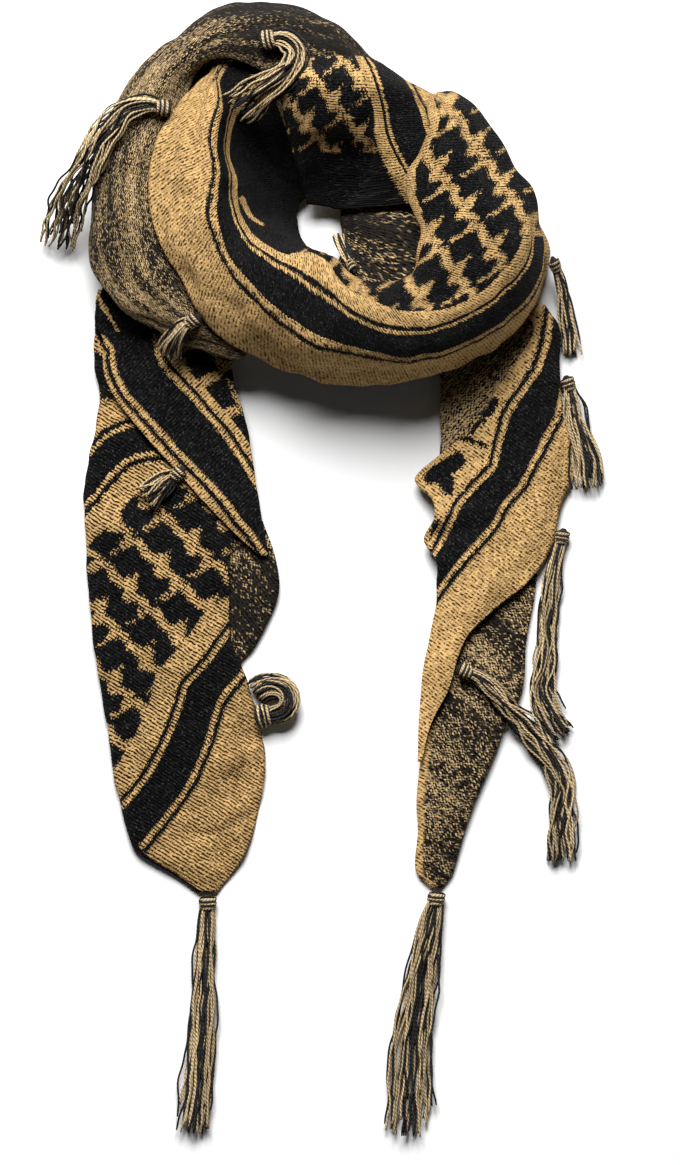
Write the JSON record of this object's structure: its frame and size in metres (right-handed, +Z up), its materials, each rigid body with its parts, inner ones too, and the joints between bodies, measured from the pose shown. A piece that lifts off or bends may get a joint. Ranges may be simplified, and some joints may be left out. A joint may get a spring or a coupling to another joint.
{
  "type": "knitted keffiyeh scarf",
  "caption": "Knitted keffiyeh scarf in tan and black, wound into a loose ring with two ends and yarn tassels, lying flat.",
  "frame": {"origin": "on the table, under the middle of the bounding box", "axes": "+Y from the tips of the two ends towards the back of the ring, +X to the right seen from above, +Z up"},
  "size_m": [0.3826, 0.7906, 0.0892],
  "materials": {
    "patterned_knit": "matt two-colour double knit, tan and black",
    "mottled_knit": "matt mottled reverse of the two-colour knit",
    "yarn": "loose tan and black yarn with a soft sheen"
  },
  "bodies": {
    "root": {"hidden_layers": "patterned_knit", "back_wrap": "mottled_knit", "crossing_wrap": "patterned_knit", "well_wrap": "mottled_knit", "front_wrap": "patterned_knit", "left_under": "mottled_knit", "left_panel": "patterned_knit", "left_flap": "patterned_knit", "right_under": "mottled_knit", "right_upper": "mottled_knit", "right_panel": "patterned_knit", "tassel_shoulder": "yarn", "tassel_crown": "yarn", "tassel_waist": "yarn", "tassel_left_band": "yarn", "tassel_left_curl": "yarn", "tassel_neck": "yarn", "tassel_right_ring": "yarn", "tassel_right_upper": "yarn", "tassel_right_middle": "yarn", "tassel_right_inner": "yarn", "tassel_left_tip": "yarn", "tassel_right_tip": "yarn"}
  },
  "joints": []
}
